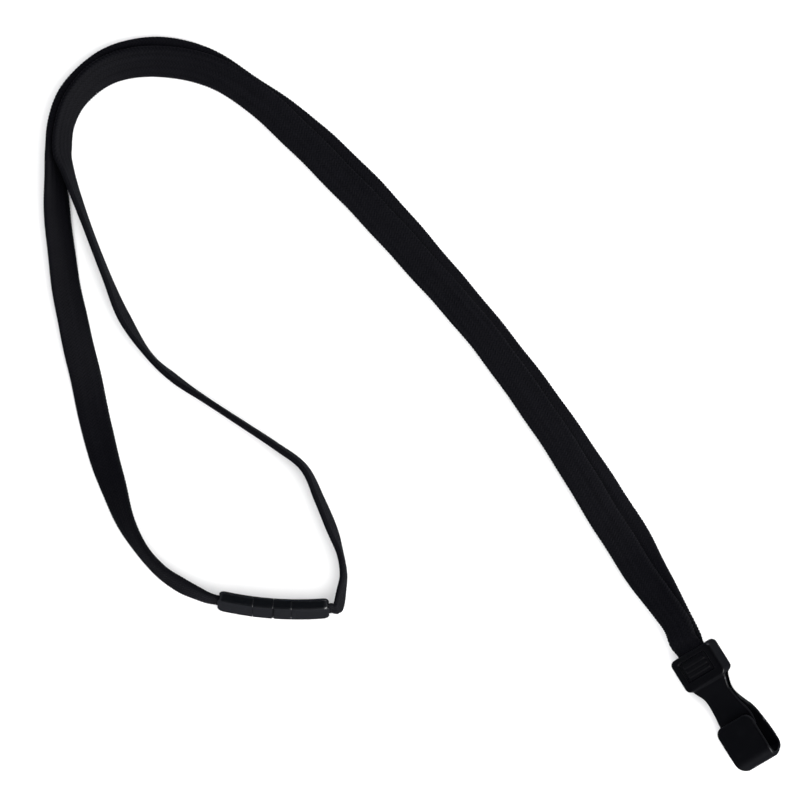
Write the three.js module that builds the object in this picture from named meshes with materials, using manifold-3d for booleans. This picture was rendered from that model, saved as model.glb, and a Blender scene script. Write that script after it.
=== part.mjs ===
// A breakaway neck lanyard: two lengths of flat braided strap, a moulded no-twist hook with a sprung gate,
// and a safety clasp that pulls apart at the neck. Millimetres, +Z up, lying on the plane z = 0.
// The hook points along -Y. The clasp is where the two straps meet at the back of the neck.
import * as THREE from "three";
import { mergeVertices } from "three/addons/utils/BufferGeometryUtils.js";
import Module from "manifold-3d";

const wasm = await Module();
wasm.setup();

// ---------- driving dimensions ----------
const GAP = 0.3; // running gap between neighbouring pieces

// Flat braid: pinched is its thickness where it is crimped.
const STRAP = { width: 9.2, thick: 1.8, pinched: 1.1, corner: 0.45 };
const STACK = 1.3; // from one strap's middle to the other's where they lie together, in thicknesses
const STEPS_PER_POINT = 2; // sections between two points of a strap's route

const COLLAR = { width: 14.9, height: 10.7, thick: 5.6, corner: 1.2, edge: 0.5, floor: 1.8 };
const WINDOW = { width: 10.0, height: 6.3, fromTop: 1.7 }; // in the collar's front, for the crimp plate
const PLATE = { thick: 0.8, recess: 0.3, tooth: 0.15, rib: 0.2, ribWidth: 0.5 };
const STRIP = { spine: 1.1, gate: 1.0 }; // thickness of the hook's spine and of its gate
const HOOK_AT = { x: 52.3, y: -35.4, z: 7.72, roll: -30 }; // middle of the collar's lower edge

const BEND = { y: -24.6, back: -4.55, front: 2.45, sides: 15 }; // the hook's U bend, and its facets
const FREE_END_TOP = -13.3; // how far below the collar the hook's free end stops
const GATE = { root: -4.45, tip: -19.8 }; // along the hook: where the gate flexes, and where it ends

const CLASP = {
  length: 33, height: 11.6, thick: 3.6, radius: 100, lean: -16, turn: -36.1,
  x: -45.56, y: 50.89, z: 6.24,
  socketBlock: 5.9, plugBlock: 5.3, plate: 0.8, cover: 0.7, flange: 0.8, corner: 0.9,
};
const STRAP_DEPTH = 8.2; // how far each strap's end goes into a clasp half
const THROAT = { width: 7.2, thick: 1.7 };
const FORK = { thick: 0.9, outer: 6.4, prong: 1.5, barb: 1.1, tip: -7.8, catch: -6.2, base: [0.6, 1.8] };

// ---------- materials ----------
function material(colour, roughness) {
  return new THREE.MeshStandardMaterial({ color: colour, roughness, metalness: 0 });
}
const braid = material(0x111114, 0.92);
const acetal = material(0x0e0f12, 0.42);
const glossy = material(0x15181d, 0.32);

// ---------- solids ----------
function solid(geometry) {
  const bare = geometry.index ? geometry.toNonIndexed() : geometry.clone();
  bare.deleteAttribute("normal");
  bare.deleteAttribute("uv");
  const merged = mergeVertices(bare, 1e-4);
  return new wasm.Manifold(
    new wasm.Mesh({
      numProp: 3,
      vertProperties: merged.attributes.position.array,
      triVerts: new Uint32Array(merged.index.array),
    }),
  );
}

function geometryOf(manifold) {
  const mesh = manifold.getMesh();
  const geometry = new THREE.BufferGeometry();
  geometry.setAttribute("position", new THREE.BufferAttribute(new Float32Array(mesh.vertProperties), 3));
  geometry.setIndex(new THREE.BufferAttribute(new Uint32Array(mesh.triVerts), 1));
  const flat = geometry.toNonIndexed();
  flat.computeVertexNormals();
  return flat;
}

function box(x0, x1, y0, y1, z0, z1) {
  const geometry = new THREE.BoxGeometry(x1 - x0, y1 - y0, z1 - z0);
  return solid(geometry.translate((x0 + x1) / 2, (y0 + y1) / 2, (z0 + z1) / 2));
}

function named(name, geometry, look) {
  const mesh = new THREE.Mesh(geometry, look);
  mesh.name = name;
  return mesh;
}

function roundedRectangle(width, height, radius) {
  const x = width / 2;
  const y = height / 2;
  const shape = new THREE.Shape();
  shape.moveTo(-x + radius, -y);
  shape.lineTo(x - radius, -y);
  shape.absarc(x - radius, -y + radius, radius, -Math.PI / 2, 0);
  shape.absarc(x - radius, y - radius, radius, 0, Math.PI / 2);
  shape.absarc(-x + radius, y - radius, radius, Math.PI / 2, Math.PI);
  shape.absarc(-x + radius, -y + radius, radius, Math.PI, 1.5 * Math.PI);
  return shape;
}

// ---------- strap routes ----------
// Where the two straps lie on each other: x, y and height of the pair's middle, its roll in degrees, how far
// the upper strap has slipped sideways over the lower one, and the thickness of each strap.
const PAIR_ROUTE = [
  [52.3, -33.1, 7.72, -30, 0, 1.1],
  [52.3, -24.3, 7.72, -30, 0, 1.1],
  [52.45, -21, 7.55, -29, 0.5, 1.65],
  [53.3, -14.72, 6.9, -28, 0.1, 1.7],
  [53.07, -0.7, 4.3, -16, 2.6, 1.8],
  [53.6, 12.3, 2.5, -4, 4.2, 1.8],
  [53.55, 27.3, 2.12, 0, 4.2, 1.8],
  [53.28, 44.3, 2.12, 0, 3.45, 1.8],
  [52.55, 63.3, 2.12, 0, 3, 1.8],
  [50.85, 82.31, 2.12, 0, 2.4, 1.8],
  [48.2, 102.3, 2.12, 0, 2.6, 1.8],
  [44.57, 124.28, 2.12, 0, 3.3, 1.8],
  [40.35, 146.33, 2.12, 0, 3.5, 1.8],
  [35.23, 166.31, 2.12, 0, 2.5, 1.8],
  [28.36, 185.24, 2.12, 0, 0.4, 1.8],
  [21.44, 197.93, 2.2, -2, 1.8, 1.8],
  [12.15, 206.36, 2.75, -10, 2.4, 1.8],
  [2.88, 211.02, 3.15, -20, 1.6, 1.8],
  [-6.38, 212.2, 4, -30, 0.8, 1.8],
  [-15.62, 210.26, 4.7, -46, 0.5, 1.8],
  [-22.8, 205.28, 4.9, -56, 0.4, 1.8],
  [-27.64, 199.03, 4.95, -58, 0.4, 1.8],
];

// Each strap alone, after the pair parts: x, y and height of its middle, its roll and its thickness.
const SOCKET_ROUTE = [
  [-32.52, 193.14, 4.5, -54, 1.8],
  [-36.82, 185.6, 3.8, -39, 1.8],
  [-41.54, 176.13, 3.4, -34, 1.8],
  [-46.38, 165.47, 3, -28, 1.8],
  [-50.74, 154.2, 2.45, -19, 1.8],
  [-54.81, 142.83, 1.7, -10, 1.8],
  [-58.86, 131.45, 1, 0, 1.8],
  [-62.78, 120.06, 1.9, 12, 1.8],
  [-65.96, 108.39, 3.15, 30, 1.8],
  [-68.8, 96.67, 4.3, 54, 1.8],
  [-69.35, 86.51, 4.6, 69, 1.8],
  [-67.88, 77.94, 4.7, 69.5, 1.8],
  [-64.88, 70.96, 5.1, 66, 1.8],
  [-61.7, 65.9, 5.4, 71, 1.7],
];
const PLUG_ROUTE = [
  [-28.6, 192.46, 4.8, -72, 1.8],
  [-30.48, 184.83, 4.7, -79, 1.8],
  [-32.8, 173.86, 4.65, -84, 1.8],
  [-35.57, 159.3, 4.65, -82, 1.8],
  [-37.47, 146.3, 4.65, -74, 1.8],
  [-37.12, 133.34, 4.65, -87, 1.8],
  [-34.4, 123.7, 4.65, -82, 1.8],
  [-29.73, 113.03, 4.65, -89, 1.8],
  [-24.76, 102.32, 4.65, -88, 1.8],
  [-19.6, 91.02, 4.65, -86, 1.8],
  [-16, 81.34, 4.65, -84, 1.8],
  [-17.05, 70.91, 4.65, -78.5, 1.8],
  [-18.62, 61.28, 4.65, -77, 1.8],
  [-20.43, 53.84, 4.75, -88, 1.8],
  [-22.75, 48.41, 5.1, -86, 1.8],
  [-25.85, 44.67, 5.4, -79, 1.7],
];
const PLUG_END_FROM = 9; // the point of PLUG_ROUTE where the stretch that gives way with the clasp begins

// A strap's frame at a point: w runs across its width and f stands up out of its face.
function strapFrame(tangent, rollDegrees) {
  const roll = THREE.MathUtils.degToRad(rollDegrees);
  const t = tangent.clone().normalize();
  const left = new THREE.Vector3(0, 0, 1).cross(t).normalize();
  const up = t.clone().cross(left);
  const w = left.multiplyScalar(Math.cos(roll)).addScaledVector(up, Math.sin(roll));
  return { w, f: t.cross(w) };
}

// One strap's share of the pair's route: side is -1 for the lower strap and 1 for the upper one.
function shareOfPair(side) {
  return PAIR_ROUTE.map(([x, y, z, roll, slip, thick], i) => {
    const before = PAIR_ROUTE[Math.max(i - 1, 0)];
    const after = PAIR_ROUTE[Math.min(i + 1, PAIR_ROUTE.length - 1)];
    const tangent = new THREE.Vector3(after[0] - before[0], after[1] - before[1], after[2] - before[2]);
    const { w, f } = strapFrame(tangent, roll);
    const middle = new THREE.Vector3(x, y, z);
    middle.addScaledVector(f, (side * thick * STACK) / 2).addScaledVector(w, (side * slip) / 2);
    return [...middle.toArray(), roll, thick];
  });
}

// Points on the clasp's own curve, where a strap's end lies inside it. s is the distance from its middle.
const claspTurn = new THREE.Euler(
  THREE.MathUtils.degToRad(CLASP.lean), 0, THREE.MathUtils.degToRad(CLASP.turn), "ZYX",
);
const STRAP_IN_CLASP = (CLASP.cover - CLASP.plate) / 2; // the strap's middle, off the clasp's middle

function onClasp(s, inward) {
  const angle = s / CLASP.radius;
  const r = CLASP.radius - inward;
  return [r * Math.sin(angle), CLASP.radius - r * Math.cos(angle)];
}

function endInClasp(side) {
  const end = CLASP.length / 2;
  const roll = side < 0 ? 90 + CLASP.lean : -90 - CLASP.lean;
  const stops = [
    [end + 2.5, 1.5], [end + 0.8, 1.15], [end - 3.5, STRAP.pinched], [end - STRAP_DEPTH, STRAP.pinched],
  ];
  return stops.map(([s, thick]) => {
    const [x, y] = onClasp(side * s, STRAP_IN_CLASP);
    const place = new THREE.Vector3(x, y, 0).applyEuler(claspTurn);
    return [place.x + CLASP.x, place.y + CLASP.y, place.z + CLASP.z, roll, thick];
  });
}

// Sections along a route: a Catmull-Rom curve through the points, and one through roll and thickness.
function sections(route) {
  const middles = new THREE.CatmullRomCurve3(
    route.map(([x, y, z]) => new THREE.Vector3(x, y, z)), false, "catmullrom", 0.5,
  );
  const looks = new THREE.CatmullRomCurve3(
    route.map(([, , , roll, thick]) => new THREE.Vector3(roll, thick, 0)), false, "catmullrom", 0.5,
  );
  const count = (route.length - 1) * STEPS_PER_POINT;
  const found = [];
  for (let i = 0; i <= count; i += 1) {
    const t = i / count;
    const tangent = middles.getTangent(t);
    const { x: roll, y: thick } = looks.getPoint(t);
    found.push({ middle: middles.getPoint(t), tangent, thick, ...strapFrame(tangent, roll) });
  }
  return found;
}

// The strap is extruded straight, one unit per section, and each section is then put in its place.
function strapGeometry(stations) {
  const last = stations.length - 1;
  const x = STRAP.width / 2;
  const cut = STRAP.corner;
  const shape = new THREE.Shape(
    [[-x + cut, -1], [x - cut, -1], [x, -0.4], [x, 0.4], [x - cut, 1], [-x + cut, 1], [-x, 0.4], [-x, -0.4]]
      .map(([across, high]) => new THREE.Vector2(across, high)),
  );
  const geometry = new THREE.ExtrudeGeometry(shape, { steps: last, depth: last, bevelEnabled: false });
  const place = geometry.getAttribute("position");
  for (let i = 0; i < place.count; i += 1) {
    const at = stations[Math.round(place.getZ(i))];
    const point = at.middle.clone();
    point.addScaledVector(at.w, place.getX(i)).addScaledVector(at.f, (place.getY(i) * at.thick) / 2);
    place.setXYZ(i, point.x, point.y, point.z);
  }
  geometry.computeVertexNormals();
  return geometry;
}

function straps() {
  const socketSide = sections([...shareOfPair(-1), ...SOCKET_ROUTE, ...endInClasp(-1)]);
  const plugSide = sections([...shareOfPair(1), ...PLUG_ROUTE, ...endInClasp(1)]);
  const split = (PAIR_ROUTE.length + PLUG_END_FROM) * STEPS_PER_POINT;
  const first = plugSide.slice(0, split + 1);
  const second = plugSide.slice(split);
  const half = plugSide[split].tangent.clone().multiplyScalar(GAP / 2);
  first[split] = { ...plugSide[split], middle: plugSide[split].middle.clone().sub(half) };
  second[0] = { ...plugSide[split], middle: plugSide[split].middle.clone().add(half) };
  return [
    named("strap_socket_side", strapGeometry(socketSide), braid),
    named("strap_plug_side", strapGeometry(first), braid),
    named("strap_plug_end", strapGeometry(second), braid),
  ];
}

// ---------- hook ----------
// In the hook's own frame x runs across it, y up from the collar's lower edge, and z to its front.

// A strip seen from the side: a band of even thickness along a line of [y, z] points, as wide as the hook.
function strip(line, thick) {
  const points = line.map(([y, z]) => new THREE.Vector2(z, y));
  const edges = [[], []];
  points.forEach((p, i) => {
    const along = points[Math.min(i + 1, points.length - 1)].clone().sub(points[Math.max(i - 1, 0)]);
    const side = new THREE.Vector2(-along.y, along.x).normalize().multiplyScalar(thick / 2);
    edges[0].push(p.clone().add(side));
    edges[1].unshift(p.clone().sub(side));
  });
  const shape = new THREE.Shape([...edges[0], ...edges[1]]);
  const geometry = new THREE.ExtrudeGeometry(shape, { depth: COLLAR.width, bevelEnabled: false });
  geometry.translate(0, 0, -COLLAR.width / 2);
  return solid(geometry.rotateY(-Math.PI / 2));
}

// A face outline seen from the front, from [y, half width] points, extruded through the hook's depth.
function outline(points) {
  const side = new THREE.SplineCurve(points.map(([y, half]) => new THREE.Vector2(half, y))).getPoints(24);
  const other = side.map((p) => new THREE.Vector2(-p.x, p.y)).reverse();
  const shape = new THREE.Shape([...side, ...other]);
  const depth = 14;
  const geometry = new THREE.ExtrudeGeometry(shape, { depth, bevelEnabled: false });
  return solid(geometry.translate(0, 0, -depth / 2));
}

function splineLine(points, count) {
  return new THREE.SplineCurve(points.map(([y, z]) => new THREE.Vector2(y, z))).getPoints(count)
    .map((p) => [p.x, p.y]);
}

const SPINE_LINE = [[1.5, -0.5], [-1, -0.75], [-4, -0.95], [-7, -1.4], [-10, -2.7], [-13.1, -3.9],
  [-18.9, -4.4], [BEND.y, BEND.back]];
const SPINE_SIDE = [[1.5, 6.2], [-0.6, 5.9], [-4.2, 4.6], [-8, 4.8], [-13, 5.8], [-19, 6.4], [-24, 6.6],
  [-27.5, 6.4], [-30, 5.6]];
const FREE_SIDE = [[FREE_END_TOP, 3.2], [FREE_END_TOP - 0.6, 4.4], [FREE_END_TOP - 2.2, 5.6],
  [FREE_END_TOP - 5, 6.4], [-22, 6.6], [-27.5, 6.4], [-30, 5.6]];
const GATE_LINE = [[1.5, 1.45], [-0.6, 1.33], [-4.1, 0.74], [-9.1, 0.1], [-12.4, -0.35], [-15, -0.3],
  [-17.5, 0.4], [GATE.tip, 1.05]];
const GATE_SIDE = [[1.5, 6.1], [-0.6, 6.0], [-4.3, 4.6], [-9, 4.9], [-12.5, 5.6], [-15.5, 5.8], [-18.4, 5.5],
  [GATE.tip - 0.3, 3.4]];

function bendLine() {
  const middle = (BEND.back + BEND.front) / 2;
  const radius = (BEND.front - BEND.back) / 2;
  const points = [];
  for (let i = 0; i <= BEND.sides; i += 1) {
    const angle = (Math.PI * i) / BEND.sides;
    points.push([BEND.y - radius * Math.sin(angle), middle - radius * Math.cos(angle)]);
  }
  return points;
}

function collar() {
  const depth = COLLAR.thick - 2 * COLLAR.edge;
  const width = COLLAR.width - 2 * COLLAR.edge;
  const height = COLLAR.height - 2 * COLLAR.edge;
  const shape = roundedRectangle(width, height, COLLAR.corner);
  const geometry = new THREE.ExtrudeGeometry(shape, {
    depth, bevelSize: COLLAR.edge, bevelThickness: COLLAR.edge, bevelSegments: 2, curveSegments: 4,
  });
  const whole = solid(geometry.translate(0, COLLAR.height / 2, -depth / 2));
  const across = STRAP.width / 2 + GAP;
  const high = STRAP.pinched + 1.5 * GAP;
  const channel = box(-across, across, COLLAR.floor, COLLAR.height + 1, -high, high);
  const top = COLLAR.height - WINDOW.fromTop;
  const window = box(-WINDOW.width / 2, WINDOW.width / 2, top - WINDOW.height, top, 0, COLLAR.thick);
  return whole.subtract(channel).subtract(window);
}

function hookFrame() {
  const spineLine = [...splineLine(SPINE_LINE, 22), ...bendLine().slice(1)];
  const freeLine = [[BEND.y, BEND.back], ...bendLine().slice(1), [FREE_END_TOP, BEND.front]];
  const spine = strip(spineLine, STRIP.spine).intersect(outline(SPINE_SIDE));
  const backOnly = box(-20, 20, -40, 20, -20, (BEND.back + BEND.front) / 2);
  const frontOnly = box(-20, 20, -40, 20, (BEND.back + BEND.front) / 2 - 0.01, 20);
  const free = strip(freeLine, STRIP.spine).intersect(outline(FREE_SIDE)).intersect(frontOnly);
  const gateRoot = gateStrip().intersect(box(-20, 20, GATE.root + GAP / 2, 1.2, -20, 20));
  const body = collar().add(spine.intersect(backOnly)).add(free).add(gateRoot);
  return named("hook_frame", geometryOf(body), acetal);
}

function gateStrip() {
  return strip(splineLine(GATE_LINE, 20), STRIP.gate).intersect(outline(GATE_SIDE));
}

function gateTongue() {
  const below = box(-20, 20, -40, GATE.root - GAP / 2, -20, 20);
  return named("gate_tongue", geometryOf(gateStrip().intersect(below)), acetal);
}

function crimpPlate() {
  const width = WINDOW.width - 2 * GAP;
  const top = COLLAR.height - WINDOW.fromTop - GAP;
  const bottom = top - WINDOW.height + 2 * GAP;
  const outer = COLLAR.thick / 2 - PLATE.recess;
  const inner = outer - PLATE.thick;
  let plate = box(-width / 2, width / 2, bottom, top, inner, outer);
  for (let i = 1; i <= 3; i += 1) {
    const y = bottom + ((top - bottom) * i) / 4;
    const low = y - PLATE.ribWidth / 2;
    const high = y + PLATE.ribWidth / 2;
    plate = plate.add(box(-width / 2 + 1, width / 2 - 1, low, high, inner - PLATE.tooth, outer + PLATE.rib));
  }
  return named("collar_crimp_plate", geometryOf(plate), acetal);
}

function hook() {
  const group = new THREE.Group();
  group.position.set(HOOK_AT.x, HOOK_AT.y, HOOK_AT.z);
  group.rotation.y = THREE.MathUtils.degToRad(HOOK_AT.roll);
  group.add(hookFrame(), gateTongue(), crimpPlate());
  return group;
}

// ---------- safety clasp ----------
// In the clasp's own frame x runs along it, y to its hollow side (towards the neck) and z up its height.

// A bar that follows the clasp's curve from s0 to s1, between two depths y and two heights z.
function bar(s0, s1, y0, y1, z0, z1, corner = 0) {
  const steps = Math.max(1, Math.round(Math.abs(s1 - s0) / 2.8));
  const shape = roundedRectangle(y1 - y0, z1 - z0, corner || 1e-3);
  const square = new THREE.Shape([
    new THREE.Vector2(-1, -1), new THREE.Vector2(1, -1), new THREE.Vector2(1, 1), new THREE.Vector2(-1, 1),
  ].map((p) => p.multiply(new THREE.Vector2((y1 - y0) / 2, (z1 - z0) / 2))));
  const geometry = new THREE.ExtrudeGeometry(corner ? shape : square, {
    steps, depth: s1 - s0, bevelEnabled: false, curveSegments: 3,
  });
  const place = geometry.getAttribute("position");
  for (let i = 0; i < place.count; i += 1) {
    const [x, y] = onClasp(s0 + place.getZ(i), (y0 + y1) / 2 + place.getX(i));
    place.setXYZ(i, x, y, (z0 + z1) / 2 + place.getY(i));
  }
  return solid(geometry);
}

const halfThick = CLASP.thick / 2;
const halfHigh = CLASP.height / 2;
const claspEnd = CLASP.length / 2;

function blockOf(side) {
  return side < 0 ? CLASP.socketBlock : CLASP.plugBlock;
}

// Both halves have the same shape: a block that meets the other half, and a back plate with teeth that the
// strap's end is pressed onto.
function claspHalf(side) {
  const span = (from, to) => (side < 0 ? [-to, -from] : [from, to]);
  const outside = bar(...span(GAP / 2, claspEnd), -halfThick, halfThick, -halfHigh, halfHigh, CLASP.corner);
  const block = bar(...span(0, blockOf(side)), -halfThick, halfThick, -halfHigh, halfHigh);
  const plate = bar(...span(1, claspEnd), halfThick - CLASP.plate, halfThick, -halfHigh, halfHigh);
  let half = block.add(plate);
  for (const s of [10, 12, 14]) {
    const toothTop = halfThick - CLASP.plate - PLATE.tooth;
    half = half.add(bar(...span(s - 0.25, s + 0.25), toothTop, halfThick, -4, 4));
  }
  return outside.intersect(half);
}

// A cover shaped like a C: it closes the outer face and wraps both edges, up to the back plate.
function claspCover(name, side) {
  const span = (from, to) => (side < 0 ? [-to, -from] : [from, to]);
  const from = blockOf(side) + GAP;
  const hollow = halfThick - CLASP.plate;
  const outside = bar(...span(from, claspEnd), -halfThick, halfThick, -halfHigh, halfHigh, CLASP.corner);
  const reach = bar(...span(from - 1, claspEnd + 1), -halfThick, hollow - GAP, -halfHigh, halfHigh);
  const inner = halfHigh - CLASP.flange;
  const room = bar(...span(from - 1, claspEnd + 1), -halfThick + CLASP.cover, halfThick, -inner, inner);
  return named(name, geometryOf(outside.intersect(reach).subtract(room)), glossy);
}

function claspSocket() {
  const y = THROAT.thick / 2;
  const throat = box(-CLASP.socketBlock - 1, 1, -y, y, -THROAT.width / 2, THROAT.width / 2);
  return named("clasp_socket", geometryOf(claspHalf(-1).subtract(throat)), glossy);
}

function claspPlug() {
  const z = FORK.outer / 2 + GAP;
  const y = FORK.thick / 2 + GAP;
  const pocket = box(-1, FORK.base[1] + GAP, -y, y, -z, z);
  return named("clasp_plug", geometryOf(claspHalf(1).subtract(pocket)), glossy);
}

// The plug's two sprung prongs and the root that joins them inside the plug.
function claspProngs() {
  const y = FORK.thick / 2;
  const outer = FORK.outer / 2;
  const shape = new THREE.Shape();
  shape.moveTo(FORK.base[1], -outer);
  shape.lineTo(FORK.base[1], outer);
  shape.lineTo(FORK.catch, outer);
  shape.lineTo(FORK.catch, outer + FORK.barb);
  shape.lineTo(FORK.tip, outer - 0.4);
  shape.lineTo(FORK.tip, outer - FORK.prong);
  shape.lineTo(FORK.base[0], outer - FORK.prong);
  shape.lineTo(FORK.base[0], -outer + FORK.prong);
  shape.lineTo(FORK.tip, -outer + FORK.prong);
  shape.lineTo(FORK.tip, -outer + 0.4);
  shape.lineTo(FORK.catch, -outer - FORK.barb);
  shape.lineTo(FORK.catch, -outer);
  const geometry = new THREE.ExtrudeGeometry(shape, { depth: FORK.thick, bevelEnabled: false });
  geometry.rotateX(Math.PI / 2).translate(0, y, 0);
  return named("clasp_prongs", geometry, glossy);
}

function clasp() {
  const group = new THREE.Group();
  group.position.set(CLASP.x, CLASP.y, CLASP.z);
  group.rotation.copy(claspTurn);
  group.add(claspSocket(), claspCover("clasp_socket_cover", -1));
  group.add(claspPlug(), claspProngs(), claspCover("clasp_plug_cover", 1));
  return group;
}

const lanyard = new THREE.Group();
lanyard.add(...straps(), hook(), clasp());

export default lanyard;
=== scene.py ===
# A breakaway neck lanyard on a pale floor: flat braided straps, a moulded no-twist hook with a sprung gate,
# and a safety clasp. Metres, in the frame's axes: +Z up, the hook along -Y.
import math

import bpy
import numpy as np
from mathutils import Matrix, Vector


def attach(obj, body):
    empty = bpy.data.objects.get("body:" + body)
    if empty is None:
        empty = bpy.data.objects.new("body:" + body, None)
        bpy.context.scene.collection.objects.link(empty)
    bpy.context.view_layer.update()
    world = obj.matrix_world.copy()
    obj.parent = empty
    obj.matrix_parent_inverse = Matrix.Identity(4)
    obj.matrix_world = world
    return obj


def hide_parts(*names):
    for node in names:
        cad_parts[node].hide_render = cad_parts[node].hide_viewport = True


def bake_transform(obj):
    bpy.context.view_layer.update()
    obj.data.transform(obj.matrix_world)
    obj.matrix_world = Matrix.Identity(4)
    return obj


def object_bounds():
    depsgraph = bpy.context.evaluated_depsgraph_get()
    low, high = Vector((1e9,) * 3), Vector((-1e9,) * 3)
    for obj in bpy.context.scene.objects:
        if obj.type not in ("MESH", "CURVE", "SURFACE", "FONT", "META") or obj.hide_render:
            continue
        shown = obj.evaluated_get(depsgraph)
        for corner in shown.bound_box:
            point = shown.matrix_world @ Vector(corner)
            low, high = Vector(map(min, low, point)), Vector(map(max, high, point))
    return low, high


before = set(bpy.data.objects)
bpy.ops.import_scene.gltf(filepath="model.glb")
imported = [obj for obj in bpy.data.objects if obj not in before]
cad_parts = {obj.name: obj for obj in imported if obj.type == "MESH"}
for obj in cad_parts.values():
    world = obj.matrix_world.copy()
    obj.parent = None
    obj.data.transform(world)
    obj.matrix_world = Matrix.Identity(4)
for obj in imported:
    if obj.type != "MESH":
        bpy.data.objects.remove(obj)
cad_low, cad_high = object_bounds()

MM = 0.001

# ---------- driving dimensions ----------
CAMERA = {"over": (0.0186, 0.0832), "field": 0.236, "turn": -32.0, "lens": 500.0, "sensor": 36.0}

STRAP = {"width": 0.0092, "thick": 0.0018, "pinched": 0.0011}
STACK = 1.3  # from one strap's middle to the other's where they lie together, in thicknesses
BRAID = {"pitch": 0.00095, "yarns": 20, "samples": 3, "relief": 0.00013}
OVAL = (0.48, 0.72)  # powers of a strap's section, across and high: flat faces, round edges

# The two mouldings are shaped in millimetres in their own frames, as the constants below are.
HOOK_AT = {"place": (0.0523, -0.0354, 0.00772), "roll": -30}
COLLAR = {"width": 14.9, "height": 10.7, "thick": 5.6, "corner": 1.7, "edge": 0.6, "floor": 1.8}
WINDOW = {"width": 10.0, "height": 6.3, "from_top": 1.7}
PLATE = {"thick": 0.8, "recess": 0.3}
BEND = {"y": -24.6, "back": -4.55, "front": 2.45}
SPINE_THICK = 1.1
GATE_THICK = 1.0
FREE_END_TOP = -13.3  # how far below the collar the hook's free end stops
FREE_END_HALF = 6.6  # half its width
FREE_END_CORNER = 2.6
HOOK_EDGE = 0.42  # how round the strip's edges are

CLASP = {
    "place": (-0.04556, 0.05089, 0.00624), "lean": -16, "turn": -36.1,
    "length": 33.0, "height": 11.6, "thick": 3.6, "radius": 100.0,
    "socket_block": 5.9, "plug_block": 5.3, "plate": 0.8, "cover": 0.7, "flange": 0.8,
}
STRAP_DEPTH = 8.2  # how far each strap's end goes into a clasp half
FORK = {
    "thick": 0.9, "outer": 3.2, "prong": 1.5, "barb": 1.1, "tip": -7.8, "catch": -6.2, "base": (0.6, 1.8),
}
SEAM = 0.06  # width of the visible joints of the clasp
LIP = 1.0  # how far a half reaches into its cover, under the joint
TEETH = (10, 12, 14)  # along each half of the clasp, where its teeth bite the strap

# Grid cells of the mouldings' meshes, in millimetres.
HOOK_CELL = 0.22
GATE_CELL = 0.8 * HOOK_CELL
PLATE_CELL = 0.16
CLASP_CELL = 0.19


# ---------- camera ----------
def make_camera():
    data = bpy.data.cameras.new("camera")
    data.lens = CAMERA["lens"]
    data.sensor_width = CAMERA["sensor"]
    data.clip_end = 50
    camera = bpy.data.objects.new("camera", data)
    height = CAMERA["field"] * CAMERA["lens"] / CAMERA["sensor"]
    camera.location = (*CAMERA["over"], height)
    camera.rotation_euler = (0, 0, math.radians(CAMERA["turn"]))
    bpy.context.scene.collection.objects.link(camera)
    bpy.context.scene.camera = camera


make_camera()

# ---------- strap routes ----------
# Where the two straps lie on each other: x, y and height of the pair's middle, its roll in degrees, how far
# the upper strap has slipped sideways over the lower one, and the thickness of each strap.
PAIR_ROUTE = [
    (0.0523, -0.0331, 0.00772, -30, 0, 0.0011),
    (0.0523, -0.0243, 0.00772, -30, 0, 0.0011),
    (0.05245, -0.021, 0.00755, -29, 0.0005, 0.00165),
    (0.0533, -0.01472, 0.0069, -28, 0.0001, 0.0017),
    (0.05307, -0.0007, 0.0043, -16, 0.0026, 0.0018),
    (0.0536, 0.0123, 0.0025, -4, 0.0042, 0.0018),
    (0.05355, 0.0273, 0.00212, 0, 0.0042, 0.0018),
    (0.05328, 0.0443, 0.00212, 0, 0.00345, 0.0018),
    (0.05255, 0.0633, 0.00212, 0, 0.003, 0.0018),
    (0.05085, 0.08231, 0.00212, 0, 0.0024, 0.0018),
    (0.0482, 0.1023, 0.00212, 0, 0.0026, 0.0018),
    (0.04457, 0.12428, 0.00212, 0, 0.0033, 0.0018),
    (0.04035, 0.14633, 0.00212, 0, 0.0035, 0.0018),
    (0.03523, 0.16631, 0.00212, 0, 0.0025, 0.0018),
    (0.02836, 0.18524, 0.00212, 0, 0.0004, 0.0018),
    (0.02144, 0.19793, 0.0022, -2, 0.0018, 0.0018),
    (0.01215, 0.20636, 0.00275, -10, 0.0024, 0.0018),
    (0.00288, 0.21102, 0.00315, -20, 0.0016, 0.0018),
    (-0.00638, 0.2122, 0.004, -30, 0.0008, 0.0018),
    (-0.01562, 0.21026, 0.0047, -46, 0.0005, 0.0018),
    (-0.0228, 0.20528, 0.0049, -56, 0.0004, 0.0018),
    (-0.02764, 0.19903, 0.00495, -58, 0.0004, 0.0018),
]

# Each strap alone, after the pair parts: x, y and height of its middle, its roll and its thickness.
SOCKET_ROUTE = [
    (-0.03252, 0.19314, 0.0045, -54, 0.0018),
    (-0.03682, 0.1856, 0.0038, -39, 0.0018),
    (-0.04154, 0.17613, 0.0034, -34, 0.0018),
    (-0.04638, 0.16547, 0.003, -28, 0.0018),
    (-0.05074, 0.1542, 0.00245, -19, 0.0018),
    (-0.05481, 0.14283, 0.0017, -10, 0.0018),
    (-0.05886, 0.13145, 0.001, 0, 0.0018),
    (-0.06278, 0.12006, 0.0019, 12, 0.0018),
    (-0.06596, 0.10839, 0.00315, 30, 0.0018),
    (-0.0688, 0.09667, 0.0043, 54, 0.0018),
    (-0.06935, 0.08651, 0.0046, 69, 0.0018),
    (-0.06788, 0.07794, 0.0047, 69.5, 0.0018),
    (-0.06488, 0.07096, 0.0051, 66, 0.0018),
    (-0.0617, 0.0659, 0.0054, 71, 0.0017),
]
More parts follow.
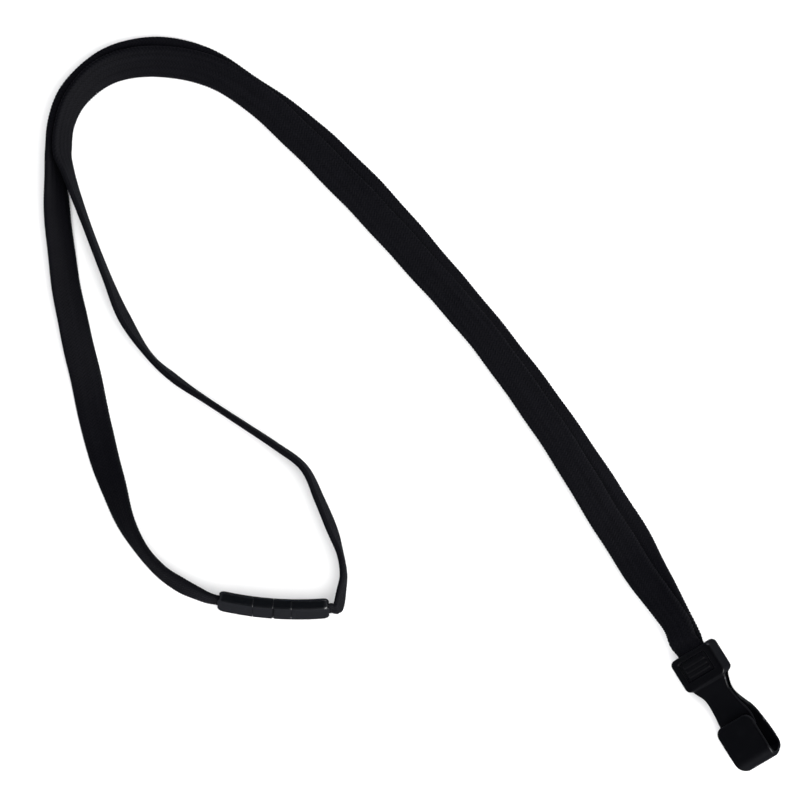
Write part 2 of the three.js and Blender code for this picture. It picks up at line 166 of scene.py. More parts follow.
PLUG_ROUTE = [
    (-0.0286, 0.19246, 0.0048, -72, 0.0018),
    (-0.03048, 0.18483, 0.0047, -79, 0.0018),
    (-0.0328, 0.17386, 0.00465, -84, 0.0018),
    (-0.03557, 0.1593, 0.00465, -82, 0.0018),
    (-0.03747, 0.1463, 0.00465, -74, 0.0018),
    (-0.03712, 0.13334, 0.00465, -87, 0.0018),
    (-0.0344, 0.1237, 0.00465, -82, 0.0018),
    (-0.02973, 0.11303, 0.00465, -89, 0.0018),
    (-0.02476, 0.10232, 0.00465, -88, 0.0018),
    (-0.0196, 0.09102, 0.00465, -86, 0.0018),
    (-0.016, 0.08134, 0.00465, -84, 0.0018),
    (-0.01705, 0.07091, 0.00465, -78.5, 0.0018),
    (-0.01862, 0.06128, 0.00465, -77, 0.0018),
    (-0.02043, 0.05384, 0.00475, -88, 0.0018),
    (-0.02275, 0.04841, 0.0051, -86, 0.0018),
    (-0.02585, 0.04467, 0.0054, -79, 0.0017),
]
PLUG_END_FROM = 9  # the point of PLUG_ROUTE where the stretch that gives way with the clasp begins


def unit(rows):
    return rows / np.linalg.norm(rows, axis=1, keepdims=True)


def strap_frames(tangents, rolls):
    """Across each section of a strap (w) and up out of its face (f), from its direction and roll."""
    t = unit(np.asarray(tangents, float))
    left = unit(np.cross((0, 0, 1), t))
    up = np.cross(t, left)
    roll = np.radians(np.asarray(rolls, float))[:, None]
    w = left * np.cos(roll) + up * np.sin(roll)
    return w, np.cross(t, w)


def share_of_pair(side):
    """One strap's share of the pair's route: side is -1 for the lower strap and 1 for the upper one."""
    pair = np.array(PAIR_ROUTE, float)
    middle, roll, slip, thick = pair[:, :3], pair[:, 3], pair[:, 4], pair[:, 5]
    index = np.arange(len(pair))
    tangent = middle[np.minimum(index + 1, len(pair) - 1)] - middle[np.maximum(index - 1, 0)]
    w, f = strap_frames(tangent, roll)
    place = middle + side * (f * thick[:, None] * STACK + w * slip[:, None]) / 2
    return np.column_stack([place, roll, thick])


def turned(degrees, axis):
    return Matrix.Rotation(math.radians(degrees), 4, axis)


CLASP_MATRIX = Matrix.Translation(CLASP["place"]) @ (turned(CLASP["turn"], "Z") @ turned(CLASP["lean"], "X"))
HOOK_MATRIX = Matrix.Translation(HOOK_AT["place"]) @ turned(HOOK_AT["roll"], "Y")


def end_in_clasp(side):
    """The last points of a strap's route, inside its half of the clasp."""
    end = CLASP["length"] / 2
    roll = side * (-90 - CLASP["lean"])
    inward = (CLASP["cover"] - CLASP["plate"]) / 2
    pinched = STRAP["pinched"] / MM
    stops = ((end + 2.5, 1.5), (end + 0.8, 1.15), (end - 3.5, pinched), (end - STRAP_DEPTH, pinched))
    rows = []
    for s, thick in stops:
        angle = side * s / CLASP["radius"]
        r = CLASP["radius"] - inward
        place = CLASP_MATRIX @ (Vector((r * math.sin(angle), CLASP["radius"] - r * math.cos(angle), 0)) * MM)
        rows.append((*place, roll, thick * MM))
    return rows


def curve_through(points, t):
    """A uniform Catmull-Rom curve through the rows of points at the parameters t, and its slope."""
    points = np.asarray(points, float)
    p = np.vstack([2 * points[0] - points[1], points, 2 * points[-1] - points[-2]])
    i = np.minimum(t.astype(int), len(points) - 2)
    u = (t - i)[:, None]
    p0, p1, p2, p3 = p[i], p[i + 1], p[i + 2], p[i + 3]
    m1, m2 = (p2 - p0) / 2, (p3 - p1) / 2
    a = 2 * (p1 - p2) + m1 + m2
    b = 3 * (p2 - p1) - 2 * m1 - m2
    return ((a * u + b) * u + m1) * u + p1, (3 * a * u + 2 * b) * u + m1


def stations(route, step):
    """Sections along a route, evenly spaced: middle, across, up, thickness, distance and route parameter."""
    route = np.asarray(route, float)
    fine = np.linspace(0, len(route) - 1, 20 * len(route))
    place, _ = curve_through(route[:, :3], fine)
    distance = np.concatenate([[0], np.cumsum(np.linalg.norm(np.diff(place, axis=0), axis=1))])
    wanted = np.arange(0, distance[-1], step)
    t = np.interp(wanted, distance, fine)
    middle, slope = curve_through(route[:, :3], t)
    looks, _ = curve_through(route[:, 3:5], t)
    w, f = strap_frames(slope, looks[:, 0])
    return {"middle": middle, "w": w, "f": f, "thick": looks[:, 1], "distance": wanted, "t": t}


def ring_outline(count):
    """Evenly spaced points round a strap's section, as (across, high) with outward normals, in metres."""
    relief = BRAID["relief"]
    half_width = STRAP["width"] / 2 - relief
    half_thick = STRAP["thick"] / 2 - relief
    fine = np.linspace(0, 2 * math.pi, 4000)
    across = half_width * np.sign(np.cos(fine)) * np.abs(np.cos(fine)) ** OVAL[0]
    high = half_thick * np.sign(np.sin(fine)) * np.abs(np.sin(fine)) ** OVAL[1]
    distance = np.concatenate([[0], np.cumsum(np.hypot(np.diff(across), np.diff(high)))])
    wanted = np.arange(count) / count * distance[-1]
    x = np.interp(wanted, distance, across)
    y = np.interp(wanted, distance, high)
    along = unit(np.column_stack([np.roll(x, -1) - np.roll(x, 1), np.roll(y, -1) - np.roll(y, 1)]))
    return np.column_stack([x, y]), np.column_stack([along[:, 1], -along[:, 0]])


def braid_relief(a, b):
    """Height from 0 to 1 of a braid whose yarns pass over two and under two, at yarn counts a and b."""
    fa, fb = a % 1, b % 1
    over = (np.floor(a) - np.floor(b)) % 4
    first = over < 2
    along = np.where(first, (1 - over + fb) / 2, (over - 2 + fa) / 2)
    across = np.where(first, fa, fb)
    return np.sin(math.pi * across) ** 0.7 * (0.6 + 0.4 * np.sin(math.pi * np.clip(along, 0, 1)))


def strap_mesh(name, line, first, last):
    """A strap between two stations, as a closed mesh with its yarn counts in the UV map "braid"."""
    samples, yarns = BRAID["samples"], BRAID["yarns"]
    around = yarns * samples
    ring, normal = ring_outline(around)
    rows = slice(first, last + 1)
    middle, w, f = line["middle"][rows], line["w"][rows], line["f"][rows]
    distance, thick = line["distance"][rows], line["thick"][rows]
    steps = distance[:, None] / BRAID["pitch"]
    turns = (np.arange(around) / samples)[None, :]
    a, b = steps + turns, steps - turns
    squeeze = (thick / STRAP["thick"])[:, None]
    relief = braid_relief(a + 1e-4, b + 1e-4) * BRAID["relief"] * 2 * squeeze
    # A strap isn't quite straight: it sways by up to 0.14 mm.
    sway = 0.00007 * (np.sin(distance / 0.0071) + np.sin(distance / 0.0029 + 1))[:, None]
    across = ring[:, 0][None, :] + normal[:, 0][None, :] * relief + sway
    high = ring[:, 1][None, :] * squeeze + normal[:, 1][None, :] * relief
    place = middle[:, None, :] + w[:, None, :] * across[:, :, None] + f[:, None, :] * high[:, :, None]
    count = len(middle)
    i, j = np.meshgrid(np.arange(count - 1), np.arange(around), indexing="ij")
    k = (j + 1) % around
    faces = np.stack([i * around + j, i * around + k, (i + 1) * around + k, (i + 1) * around + j], axis=-1)
    faces = faces.reshape(-1, 4)
    around_face = ((0, 0), (0, 1), (1, 1), (1, 0))
    corners = np.stack([np.stack([i + di, j + dj], axis=-1) for di, dj in around_face], axis=-2)
    corners = corners.reshape(-1, 2)
    s = distance[corners[:, 0]] / BRAID["pitch"]
    c = corners[:, 1] / samples
    mesh = bpy.data.meshes.new(name)
    points = np.vstack([place.reshape(-1, 3), place[0], place[-1]])
    start = count * around
    polygons = faces.tolist()
    polygons.append(list(range(start, start + around))[::-1])
    polygons.append(list(range(start + around, start + 2 * around)))
    mesh.from_pydata(points.tolist(), [], polygons)
    layer = mesh.uv_layers.new(name="braid")
    counts = np.zeros((len(mesh.loops), 2), np.float32)
    counts[: len(s)] = np.column_stack([s + c, s - c])
    layer.data.foreach_set("uv", counts.ravel())
    mesh.update()
    mesh.shade_smooth()
    return add_piece(name, mesh)


def add_piece(name, mesh):
    piece = bpy.data.objects.new(name, mesh)
    bpy.context.scene.collection.objects.link(piece)
    return piece


def declare_cord(line, first, last):
    """Works out where a strap runs, by every twelfth station; the path is not passed on."""
    path = line["middle"][first:last + 1:12]
    path = np.vstack([path, line["middle"][last]])


def make_straps():
    step = BRAID["pitch"] / BRAID["samples"]
    socket_side = stations(np.vstack([share_of_pair(-1), SOCKET_ROUTE, end_in_clasp(-1)]), step)
    plug_side = stations(np.vstack([share_of_pair(1), PLUG_ROUTE, end_in_clasp(1)]), step)
    split = int(np.searchsorted(plug_side["t"], len(PAIR_ROUTE) + PLUG_END_FROM))
    spans = (
        ("strap_socket_side", socket_side, 0, len(socket_side["t"]) - 1),
        ("strap_plug_side", plug_side, 0, split),
        ("strap_plug_end", plug_side, split, len(plug_side["t"]) - 1),
    )
    made = []
    for name, line, first, last in spans:
        piece = strap_mesh(name + "_braid", line, first, last)
        piece.data.materials.append(BRAID_LOOK)
        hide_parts(name)
        declare_cord(line, first, last)
        made.append(piece)
    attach(made[0], "lanyard")
    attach(made[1], "lanyard")
    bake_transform(made[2])


# ---------- materials ----------
class Nodes:
    """A short way to build a material's nodes around one Principled shader."""

    def __init__(self, name):
        self.material = bpy.data.materials.new(name)
        self.material.use_nodes = True
        self.tree = self.material.node_tree
        self.shader = self.tree.nodes["Principled BSDF"]

    def add(self, kind, **settings):
        node = self.tree.nodes.new(kind)
        for key, value in settings.items():
            setattr(node, key, value)
        return node

    def link(self, source, target):
        self.tree.links.new(source, target)

    def feed(self, socket, value):
        if isinstance(value, (int, float, tuple)):
            socket.default_value = value
        else:
            self.link(value, socket)

    def math(self, operation, a, b=0.0, c=0.0):
        node = self.add("ShaderNodeMath", operation=operation)
        for socket, value in zip(node.inputs, (a, b, c)):
            self.feed(socket, value)
        return node.outputs[0]

    def choose(self, factor, a, b):
        """b where factor is 1, a where it is 0."""
        return self.math("ADD", self.math("MULTIPLY", factor, self.math("SUBTRACT", b, a)), a)

    def noise(self, scale, detail=2.0):
        place = self.add("ShaderNodeTexCoord").outputs["Object"]
        node = self.add("ShaderNodeTexNoise")
        node.inputs["Scale"].default_value = scale
        node.inputs["Detail"].default_value = detail
        self.link(place, node.inputs["Vector"])
        return node.outputs["Fac"]

    def ramp(self, factor, stops):
        node = self.add("ShaderNodeValToRGB")
        elements = node.color_ramp.elements
        for element, (position, colour) in zip(elements, (stops[0], stops[-1])):
            element.position, element.color = position, (*colour, 1)
        for position, colour in stops[1:-1]:
            elements.new(position).color = (*colour, 1)
        self.link(factor, node.inputs["Fac"])
        return node.outputs["Color"]

    def bump(self, height, distance, strength):
        node = self.add("ShaderNodeBump")
        node.inputs["Distance"].default_value = distance
        node.inputs["Strength"].default_value = strength
        self.link(height, node.inputs["Height"])
        self.link(node.outputs["Normal"], self.shader.inputs["Normal"])


def braid_material():
    """Black polyester yarns, two over and two under, each a bundle of fine filaments."""
    m = Nodes("black_braid")
    uv = m.add("ShaderNodeUVMap", uv_map="braid")
    split = m.add("ShaderNodeSeparateXYZ")
    m.link(uv.outputs["UV"], split.inputs[0])
    a, b = split.outputs[0], split.outputs[1]
    fa, fb = m.math("FRACT", a), m.math("FRACT", b)
    order = m.math("FLOORED_MODULO", m.math("SUBTRACT", m.math("FLOOR", a), m.math("FLOOR", b)), 4.0)
    second = m.math("GREATER_THAN", order, 1.5)
    across = m.choose(second, fa, fb)
    crown = m.math("SINE", m.math("MULTIPLY", across, math.pi))
    filament = m.math("SINE", m.math("MULTIPLY", across, 2 * math.pi * 5))
    crown = m.math("POWER", m.math("MAXIMUM", crown, 0.0), 0.7)
    height = m.math("ADD", crown, m.math("MULTIPLY", filament, 0.12))
    fuzz = m.noise(4200.0, 3.0)
    height = m.math("ADD", height, m.math("MULTIPLY", fuzz, 0.5))
    patches = m.noise(160.0, 3.0)
    streak_at = m.add("ShaderNodeCombineXYZ")
    m.link(m.math("MULTIPLY", m.math("SUBTRACT", a, b), 0.55), streak_at.inputs[0])
    m.link(m.math("MULTIPLY", m.math("ADD", a, b), 0.012), streak_at.inputs[1])
    streaks = m.add("ShaderNodeTexNoise")
    streaks.inputs["Scale"].default_value = 1.0
    m.link(streak_at.outputs[0], streaks.inputs["Vector"])
    # Painted shade: the colour is lighter on the yarns' crowns and darker in the hollows between them. The
    # patches and streaks are tone that differs at random.
    tone = m.math("ADD", m.math("MULTIPLY", height, 0.6), m.math("MULTIPLY", patches, 0.2))
    tone = m.math("ADD", tone, m.math("MULTIPLY", m.math("SUBTRACT", streaks.outputs["Fac"], 0.25), 0.5))
    colour = m.ramp(tone, [
        (0.15, (0.0002, 0.0002, 0.0004)), (0.6, (0.0011, 0.0011, 0.0018)), (1.0, (0.0036, 0.0036, 0.0050)),
    ])
    m.link(colour, m.shader.inputs["Base Color"])
    m.link(m.math("ADD", m.math("MULTIPLY", fuzz, 0.25), 0.62), m.shader.inputs["Roughness"])
    m.shader.inputs["Specular IOR Level"].default_value = 0.12
    m.shader.inputs["Sheen Weight"].default_value = 0.035
    m.shader.inputs["Sheen Roughness"].default_value = 0.3
    m.shader.inputs["Sheen Tint"].default_value = (0.72, 0.72, 0.85, 1)
    m.bump(height, 0.00012, 0.6)
    return m.material


def plastic_material(name, dark, light, roughness, grain, shine):
    """Black moulded plastic with a fine eroded grain, duller patches and a painted highlight along its sharp
    edges.
    """
    m = Nodes(name)
    edges = m.add("ShaderNodeNewGeometry").outputs["Pointiness"]
    # Painted highlight: where the surface is sharp (high pointiness), the colour is lightened and the
    # roughness lowered, standing in for bright rims of light on the edges.
    painted_rim_highlight = m.math("MULTIPLY", m.math("SUBTRACT", edges, 0.53), 11.0)
    painted_rim_highlight = m.math("MINIMUM", m.math("MAXIMUM", painted_rim_highlight, 0.0), 0.45)
    patches = m.noise(330.0, 4.0)
    tone = m.math("ADD", m.math("MULTIPLY", patches, 0.13), m.math("MULTIPLY", painted_rim_highlight, 0.85))
    m.link(m.ramp(tone, [(0.08, dark), (1.0, light)]), m.shader.inputs["Base Color"])
    fine = m.noise(9000.0, 2.0)
    rough = m.math("ADD", m.math("MULTIPLY", patches, 0.10), roughness)
    rough = m.math("SUBTRACT", rough, m.math("MULTIPLY", painted_rim_highlight, 0.08))
    m.link(rough, m.shader.inputs["Roughness"])
    m.shader.inputs["Specular IOR Level"].default_value = shine
    m.bump(fine, 0.00002, grain)
    return m.material


BRAID_LOOK = braid_material()
# In each plastic look, dark is the plastic's own colour and light is the colour of the painted highlight on
# sharp edges.
HOOK_LOOK = plastic_material(
    "black_acetal", dark=(0.0004, 0.0004, 0.0008), light=(0.075, 0.077, 0.090),
    roughness=0.34, grain=0.35, shine=0.27,
)
PLATE_LOOK = plastic_material(
    "black_plate", dark=(0.0004, 0.0004, 0.0008), light=(0.006, 0.0062, 0.008),
    roughness=0.42, grain=0.5, shine=0.27,
)
CLASP_LOOK = plastic_material(
    "black_clasp", dark=(0.0010, 0.0014, 0.0020), light=(0.010, 0.011, 0.013),
    roughness=0.31, grain=0.2, shine=0.7,
)


# ---------- mouldings as distance fields ----------
# Each takes rows of points (x, y, z) in millimetres and gives the distance to the surface, below 0 inside.
def rounded_both(d1, d2, r):
    """Where both are below 0, with the edge between the two surfaces rounded to radius r."""
    q1, q2 = d1 + r, d2 + r
    return np.hypot(np.maximum(q1, 0), np.maximum(q2, 0)) + np.minimum(np.maximum(q1, q2), 0) - r


def joined(d1, d2, fillet):
    """Where either is below 0, with a fillet in the corner between them."""
    h = np.maximum(fillet - np.abs(d1 - d2), 0)
    return np.minimum(d1, d2) - h * h / (4 * fillet)


def cut(d1, d2, r=0.15):
    """The first without the second, with the rim rounded."""
    return rounded_both(d1, -d2, r)


def block(p, low, high, r=0.0):
    low, high = np.array(low, float), np.array(high, float)
    q = np.abs(p - (low + high) / 2) - (high - low) / 2 + r
    return np.linalg.norm(np.maximum(q, 0), axis=1) + np.minimum(q.max(axis=1), 0) - r


def rectangle(u, v, half_u, half_v, r):
    q1, q2 = np.abs(u) - half_u + r, np.abs(v) - half_v + r
    return np.hypot(np.maximum(q1, 0), np.maximum(q2, 0)) + np.minimum(np.maximum(q1, q2), 0) - r


def polygon(u, v, points):
    """Distance to a closed outline in the plane."""
    points = np.asarray(points, float)
    best = np.full(len(u), 1e9)
    inside = np.zeros(len(u), bool)
    for (x0, y0), (x1, y1) in zip(points, np.roll(points, -1, axis=0)):
        ex, ey = x1 - x0, y1 - y0
        h = np.clip(((u - x0) * ex + (v - y0) * ey) / (ex * ex + ey * ey), 0, 1)
        best = np.minimum(best, np.hypot(u - x0 - h * ex, v - y0 - h * ey))
        crosses = (y0 > v) != (y1 > v)
        inside ^= crosses & (u < x0 + (v - y0) * ex / (ey if ey else 1e-9))
    return np.where(inside, -best, best)


def line_distance(u, v, points):
    """Distance to a smooth open line through the points, drawn as many short pieces."""
    points = np.asarray(points, float)
    dense, _ = curve_through(points, np.linspace(0, len(points) - 1, 6 * len(points)))
    best = np.full(len(u), 1e9)
    for (x0, y0), (x1, y1) in zip(dense[:-1], dense[1:]):
        ex, ey = x1 - x0, y1 - y0
        h = np.clip(((u - x0) * ex + (v - y0) * ey) / (ex * ex + ey * ey), 0, 1)
        best = np.minimum(best, np.hypot(u - x0 - h * ex, v - y0 - h * ey))
    return best


def profile(y, points):
    """A smooth half width along y through [y, half width] points listed downwards."""
    points = np.asarray(points, float)
    dense, _ = curve_through(points, np.linspace(0, len(points) - 1, 12 * len(points)))
    order = np.argsort(dense[:, 0])
    return np.interp(y, dense[order, 0], dense[order, 1])


SPINE_LINE = [(1.5, -0.5), (-1, -0.75), (-4, -0.95), (-7, -1.4), (-10, -2.7), (-13.1, -3.9), (-18.9, -4.4),
              (BEND["y"], BEND["back"])]
SPINE_SIDE = [(1.5, 6.2), (-0.6, 5.9), (-4.2, 4.6), (-8, 4.8), (-13, 5.8), (-19, 6.4), (-24, 6.6),
              (-26.6, 6.4), (-28.0, 5.8), (-29.4, 4.9)]
GATE_LINE = [(1.5, 1.45), (-0.6, 1.33), (-4.1, 0.74), (-9.1, 0.1), (-12.4, -0.35), (-15, -0.3), (-17.5, 0.4),
             (-19.8, 1.05)]
GATE_SIDE = [(1.5, 6.1), (-0.6, 6.0), (-4.3, 4.6), (-9, 4.9), (-12.5, 5.6), (-15.5, 5.8), (-18.4, 5.5),
             (-20.1, 4.6)]


def collar(p):
    """The block that holds both straps' ends, before it is hollowed out."""
    x, y, z = p.T
    half_high = COLLAR["height"] / 2
    face = rectangle(x, y - half_high, COLLAR["width"] / 2, half_high, COLLAR["corner"])
    return rounded_both(face, np.abs(z) - COLLAR["thick"] / 2, COLLAR["edge"])


def collar_hollow(p):
    """The channel that the straps go into, and the window for the crimp plate."""
    top = COLLAR["height"]
    half = STRAP["width"] / MM / 2 + 0.3
    channel = block(p, (-half, COLLAR["floor"], -1.55), (half, top + 3, 1.55), 0.3)
    w = WINDOW["width"] / 2
    high = top - WINDOW["from_top"]
    window = block(p, (-w, high - WINDOW["height"], 0), (w, high, 9), 0.35)
    return np.minimum(channel, window)


def j_strip(p):
    """The spine, its bend and the free end: one strip of even thickness."""
    x, y, z = p.T
    middle = (BEND["back"] + BEND["front"]) / 2
    radius = (BEND["front"] - BEND["back"]) / 2
    arc = np.where(y < BEND["y"], np.abs(np.hypot(y - BEND["y"], z - middle) - radius), 1e9)
    spine = np.where(y >= BEND["y"] - 1e-6, line_distance(y, z, SPINE_LINE), 1e9)
    free = np.where(y >= BEND["y"] - 1e-6, np.abs(z - BEND["front"]), 1e9)
    half = profile(y, SPINE_SIDE)
    back_side = (np.abs(x) - half) * 0.97
    low_half = np.where(y < BEND["y"] + 0.6, half, FREE_END_HALF)
    front_side = rounded_both(np.abs(x) - low_half, y - FREE_END_TOP, FREE_END_CORNER)
    back_line = np.minimum(spine, np.where(z < middle, arc, 1e9))
    front_line = np.minimum(free, np.where(z >= middle, arc, 1e9))
    back = rounded_both(back_line - SPINE_THICK / 2, back_side, HOOK_EDGE)
    front = rounded_both(front_line - SPINE_THICK / 2, front_side, HOOK_EDGE)
    return np.where(z < middle, back, front)


def gate_strip(p, slimmer=0.0):
    """The gate's strip, with a rounded tip. It gets thinner towards the tip."""
    x, y, z = p.T
    half = profile(y, GATE_SIDE) - slimmer
    side = (np.abs(x) - half) * 0.95
    tip = np.hypot(np.maximum(np.abs(x) - 2.6, 0), np.maximum(y * -1 - 17.4, 0)) - 2.7
    side = np.maximum(side, np.where(y < -17.4, tip, -1e9))
    thick = GATE_THICK / 2 - slimmer - 0.12 * np.clip((-y - 14) / 6, 0, 1)
    return rounded_both(line_distance(y, z, GATE_LINE) - thick, side, 0.34)


def hook_frame(p):
    """Collar, J and the gate's root as one moulding with fillets between them, and the collar's hollow."""
    y = p[:, 1]
    root = np.maximum(gate_strip(p, 0.05), -1.6 - y)
    body = joined(collar(p), j_strip(p), 1.1)
    body = joined(body, root, 0.9)
    return cut(body, collar_hollow(p), 0.4)


def gate_tongue(p):
    """The sprung gate. It covers its slimmer root on the frame and ends inside the collar."""
    return np.maximum(gate_strip(p), p[:, 1] - 0.9)


def crimp_plate(p):
    """The plate in the collar's window, with three ribs in front and a tooth behind each."""
    half = WINDOW["width"] / 2 - 0.12
    top = COLLAR["height"] - WINDOW["from_top"] - 0.12
    bottom = top - WINDOW["height"] + 0.24
    outer = COLLAR["thick"] / 2 - PLATE["recess"]
    inner = outer - PLATE["thick"]
    body = block(p, (-half, bottom, inner), (half, top, outer), 0.12)
    for i in range(1, 4):
        y = bottom + (top - bottom) * i / 4
        rib = block(p, (-half + 1, y - 0.42, outer - 0.3), (half - 1, y + 0.42, outer + 0.28), 0.25)
        tooth = block(p, (-half + 1, y - 0.2, inner - 0.15), (half - 1, y + 0.2, outer - 0.3), 0.05)
        body = joined(np.minimum(body, tooth), rib, 0.25)
    return body


def on_clasp(p):
    """Distance along the clasp's curve, depth towards its hollow side, and height."""
    r = CLASP["radius"]
    x, y, z = p.T
    return r * np.arctan2(x, r - y), r - np.hypot(x, r - y), z


def clasp_outside(s, y, z):
    face = rectangle(s, z, CLASP["length"] / 2, CLASP["height"] / 2, 2.1)
    return rounded_both(face, np.abs(y) - CLASP["thick"] / 2, 1.0)


def block_of(side):
    return CLASP["socket_block"] if side < 0 else CLASP["plug_block"]


def clasp_half(p, side):
    """A half of the clasp without its cover: the block at the joint, and a back plate with teeth."""
    s, y, z = on_clasp(p)
    s = s * side
    half, high = CLASP["thick"] / 2, CLASP["height"] / 2
    outside = rounded_both(clasp_outside(s, y, z), SEAM / 4 - s, 0.12)
    under_cover = np.maximum(CLASP["cover"] + 0.05 - y - half, np.abs(z) - high + CLASP["flange"] + 0.05)
    lip = np.maximum(under_cover, s - block_of(side) - LIP)
    body = np.minimum(np.minimum(s - block_of(side), half - CLASP["plate"] - y), lip)
    body = rounded_both(outside, body, 0.1)
    notch = np.hypot(s, y + half) - 0.4  # a nick in the convex side where the halves meet
    body = cut(body, notch, 0.1)
    for at in TEETH:
        tooth = np.maximum(np.abs(s - at) - 0.2, np.maximum(np.abs(z) - 4, half - CLASP["plate"] - 0.15 - y))
        body = np.minimum(body, np.maximum(tooth, y - half + 0.3))
    return body


def clasp_socket(p):
    throat = block(p, (-CLASP["socket_block"] - 1, -0.85, -3.6), (1, 0.85, 3.6), 0.2)
    return cut(clasp_half(p, -1), throat, 0.12)


def clasp_plug(p):
    pocket = block(p, (-1, -0.75, -3.5), (FORK["base"][1] + 0.3, 0.75, 3.5), 0.1)
    return cut(clasp_half(p, 1), pocket, 0.12)


def clasp_cover(p, side):
    """A cover shaped like a C, round the outer face and both edges, with a shallow panel in its face."""
    s, y, z = on_clasp(p)
    s = s * side
    half, high = CLASP["thick"] / 2, CLASP["height"] / 2
    shell = clasp_outside(s, y, z)
    shell = rounded_both(shell, block_of(side) + SEAM - s, 0.12)
    shell = rounded_both(shell, y - (half - CLASP["plate"] - SEAM), 0.12)
    room = np.maximum(-half + CLASP["cover"] - y, np.abs(z) - (high - CLASP["flange"]))
    shell = cut(shell, room, 0.1)
    panel = rectangle(s - (block_of(side) + CLASP["length"] / 2) / 2, z, 4.5, 4.3, 0.6)
    recess = np.maximum(panel, y + half - 0.14)
    return cut(shell, recess, 0.08)


def clasp_prongs(p):
    """The plug's two barbed prongs and the root that joins them."""
    base, outer, prong = FORK["base"], FORK["outer"], FORK["prong"]
    upper = [
        (base[1], 0), (base[1], outer), (FORK["catch"], outer), (FORK["catch"], outer + FORK["barb"]),
        (FORK["tip"], outer - 0.4), (FORK["tip"], outer - prong), (base[0], outer - prong), (base[0], 0),
    ]
    x, y, z = p.T
    face = polygon(x, np.abs(z), upper + [(base[0], -1), (base[1], -1)])
    return rounded_both(face, np.abs(y) - FORK["thick"] / 2, 0.2)


def gradient(distance, p, h=0.02):
    """The slope of a distance field at the points, by steps of h both ways along each axis."""
    found = np.empty_like(p)
    for axis in range(3):
        step = np.zeros(3)
        step[axis] = h
        found[:, axis] = (distance(p + step) - distance(p - step)) / (2 * h)
    return found


def surface(distance, low, high, cell):
    """A closed quad mesh of a distance field: one vertex in each cell that the surface crosses."""
    axes = [np.arange(a, b + cell, cell) for a, b in zip(low, high)]
    grid = np.stack(np.meshgrid(*axes, indexing="ij"), axis=-1)
    shape = grid.shape[:3]
    value = distance(grid.reshape(-1, 3)).reshape(shape)
    inside = value < 0
    n = [size - 1 for size in shape]
    corners = [(i, j, k) for i in (0, 1) for j in (0, 1) for k in (0, 1)]
    filled = sum(inside[i:n[0] + i, j:n[1] + j, k:n[2] + k].astype(int) for i, j, k in corners)
    crossed = (filled > 0) & (filled < 8)
    number = np.full(n, -1)
    number[crossed] = np.arange(crossed.sum())
    points = grid[:-1, :-1, :-1][crossed] + cell / 2
    quads = []
    for axis in range(3):
        u, v = (axis + 1) % 3, (axis + 2) % 3
        ahead = np.roll(inside, -1, axis=axis)
        changed = inside != ahead
        keep = [slice(1, -1)] * 3
        keep[axis] = slice(0, -1)
        mask = np.zeros(shape, bool)
        mask[tuple(keep)] = changed[tuple(keep)]
        at = np.argwhere(mask)
        leaving = inside[tuple(at.T)]
        ring = []
        for du, dv in ((-1, -1), (0, -1), (0, 0), (-1, 0)):
            c = at.copy()
            c[:, u] += du
            c[:, v] += dv
            ring.append(number[tuple(c.T)])
        ring = np.stack(ring, axis=1)
        ring[~leaving] = ring[~leaving][:, ::-1]
        quads.append(ring)
    quads = np.vstack(quads)
    edges = np.vstack([quads[:, [i, (i + 1) % 4]] for i in range(4)])
    degree = np.bincount(edges.ravel(), minlength=len(points))[:, None]
    for _ in range(3):
        total = np.zeros_like(points)
        np.add.at(total, edges[:, 0], points[edges[:, 1]])
        np.add.at(total, edges[:, 1], points[edges[:, 0]])
        points = 0.4 * points + 0.6 * total / degree
        for _ in range(2):
            d = distance(points)
            g = gradient(distance, points)
            move = -d[:, None] * g / np.maximum((g * g).sum(axis=1, keepdims=True), 0.25)
            points = points + np.clip(move, -cell, cell)
    return points, quads


def moulding(name, distance, low, high, cell, matrix, node, look):
    """A moulded piece from its distance field, placed by its own frame's matrix."""
    points, quads = surface(distance, low, high, cell)
    mesh = bpy.data.meshes.new(name)
    mesh.from_pydata((points * MM).tolist(), [], quads.tolist())
    mesh.transform(matrix)
    mesh.update()
    mesh.shade_smooth()
    piece = add_piece(name, mesh)
    mesh.materials.append(look)
    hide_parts(node)
    return piece


def make_hook():
    body = moulding(
        "hook_body", hook_frame, (-7.6, -29.2, -5.6), (7.6, 10.7, 3.4), HOOK_CELL, HOOK_MATRIX,
        "hook_frame", HOOK_LOOK,
    )
    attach(body, "lanyard")
    tongue = moulding(
        "hook_gate", gate_tongue, (-6.5, -20.8, -1.4), (6.5, 1.4, 2.5), GATE_CELL, HOOK_MATRIX,
        "gate_tongue", HOOK_LOOK,
    )
    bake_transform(tongue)
    plate = moulding(
        "crimp_plate", crimp_plate, (-5.4, 2.2, 1.2), (5.4, 9.2, 3.0), PLATE_CELL, HOOK_MATRIX,
        "collar_crimp_plate", PLATE_LOOK,
    )
    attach(plate, "lanyard")


def make_clasp():
    end = CLASP["length"] / 2 + 0.5
    left = ((-end, -2.1, -6.1), (0.6, 3.3, 6.1))
    right = ((-0.6, -2.1, -6.1), (end, 3.3, 6.1))
    prongs = ((-8.3, -0.9, -4.8), (2.3, 0.9, 4.8))
    pieces = (
        ("clasp_socket_body", clasp_socket, left, "clasp_socket", "lanyard"),
        ("clasp_socket_shell", lambda p: clasp_cover(p, -1), left, "clasp_socket_cover", "lanyard"),
        ("clasp_plug_body", clasp_plug, right, "clasp_plug", "clasp_plug_half"),
        ("clasp_plug_shell", lambda p: clasp_cover(p, 1), right, "clasp_plug_cover", "clasp_plug_half"),
        ("clasp_fork", clasp_prongs, prongs, "clasp_prongs", "clasp_plug_half"),
    )
    for name, distance, (low, high), node, body in pieces:
        piece = moulding(
            name, distance, low, high, CLASP_CELL, CLASP_MATRIX, node, CLASP_LOOK,
        )
        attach(piece, body)


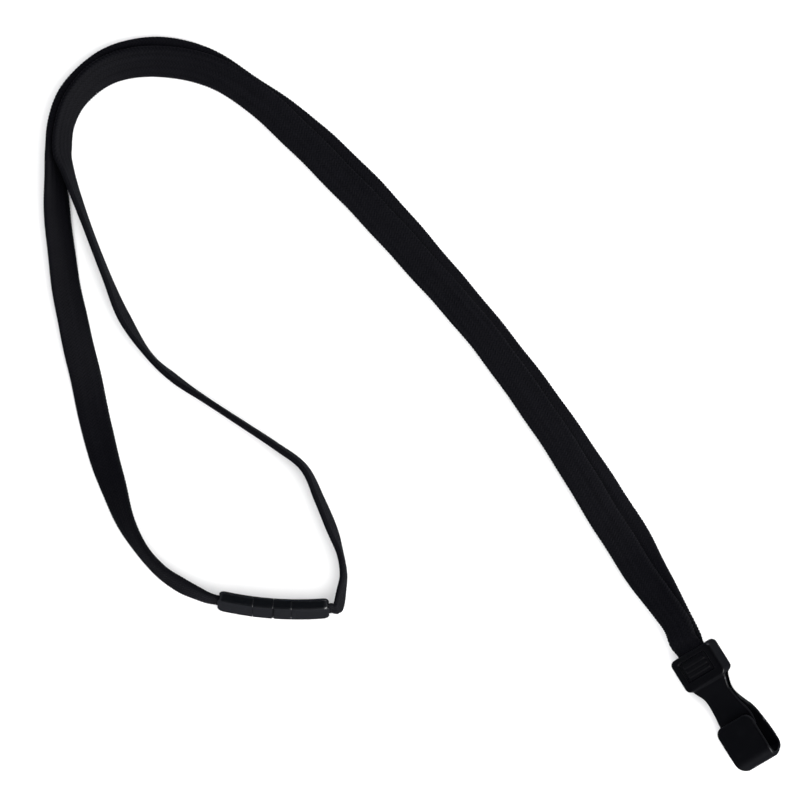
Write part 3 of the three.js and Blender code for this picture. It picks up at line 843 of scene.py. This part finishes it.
# ---------- floor and light ----------
def make_floor():
    half = 4.0
    low = cad_low.z - 0.00005
    corners = [(x * half, y * half, low) for x, y in ((-1, -1), (1, -1), (1, 1), (-1, 1))]
    mesh = bpy.data.meshes.new("floor")
    mesh.from_pydata(corners, [], [(0, 1, 2, 3)])
    floor = add_piece("floor", mesh)
    m = Nodes("floor")
    colour = m.ramp(m.noise(3.0), [(0.3, (0.90, 0.90, 0.90)), (0.7, (0.93, 0.93, 0.93))])
    m.link(colour, m.shader.inputs["Base Color"])
    m.shader.inputs["Roughness"].default_value = 0.9
    m.shader.inputs["Specular IOR Level"].default_value = 0.1
    mesh.materials.append(m.material)
    floor.visible_glossy = False


def area_light(name, place, size, power, glossy):
    data = bpy.data.lights.new(name, "AREA")
    data.shape = "RECTANGLE"
    data.size, data.size_y = size
    data.energy = power
    light = bpy.data.objects.new(name, data)
    light.location = place
    aim = Vector((0.0, 0.08, 0.0)) - Vector(place)
    light.rotation_euler = aim.to_track_quat("-Z", "Y").to_euler()
    light.visible_glossy = glossy
    light.visible_camera = False
    bpy.context.scene.collection.objects.link(light)


def make_light():
    scene = bpy.context.scene
    scene.view_settings.view_transform = "Standard"
    world = bpy.data.worlds.new("soft_studio")
    scene.world = world
    world.use_nodes = True
    tree = world.node_tree
    background = tree.nodes["Background"]
    coordinates = tree.nodes.new("ShaderNodeTexCoord")
    split = tree.nodes.new("ShaderNodeSeparateXYZ")
    raised = tree.nodes.new("ShaderNodeMath")
    raised.operation = "MULTIPLY_ADD"
    raised.inputs[1].default_value = 0.5
    raised.inputs[2].default_value = 0.5
    ramp = tree.nodes.new("ShaderNodeValToRGB")
    stops = ramp.color_ramp.elements
    stops[0].position, stops[0].color = 0.0, (0.05, 0.05, 0.06, 1)
    stops[1].position, stops[1].color = 0.9, (0.012, 0.012, 0.015, 1)
    stops.new(0.44).color = (0.22, 0.23, 0.27, 1)
    stops.new(0.54).color = (0.62, 0.65, 0.72, 1)
    stops.new(0.66).color = (0.10, 0.10, 0.12, 1)
    tree.links.new(coordinates.outputs["Generated"], split.inputs[0])
    tree.links.new(split.outputs["Z"], raised.inputs[0])
    tree.links.new(raised.outputs[0], ramp.inputs["Fac"])
    tree.links.new(ramp.outputs["Color"], background.inputs["Color"])
    background.inputs["Strength"].default_value = 1.0
    area_light("overhead", (0.0, 0.1, 1.6), (2.4, 2.4), 62, False)
    area_light("from_below_right", (0.5, -1.1, 0.55), (1.2, 0.5), 24, True)


make_straps()
make_hook()
make_clasp()
make_floor()
make_light()
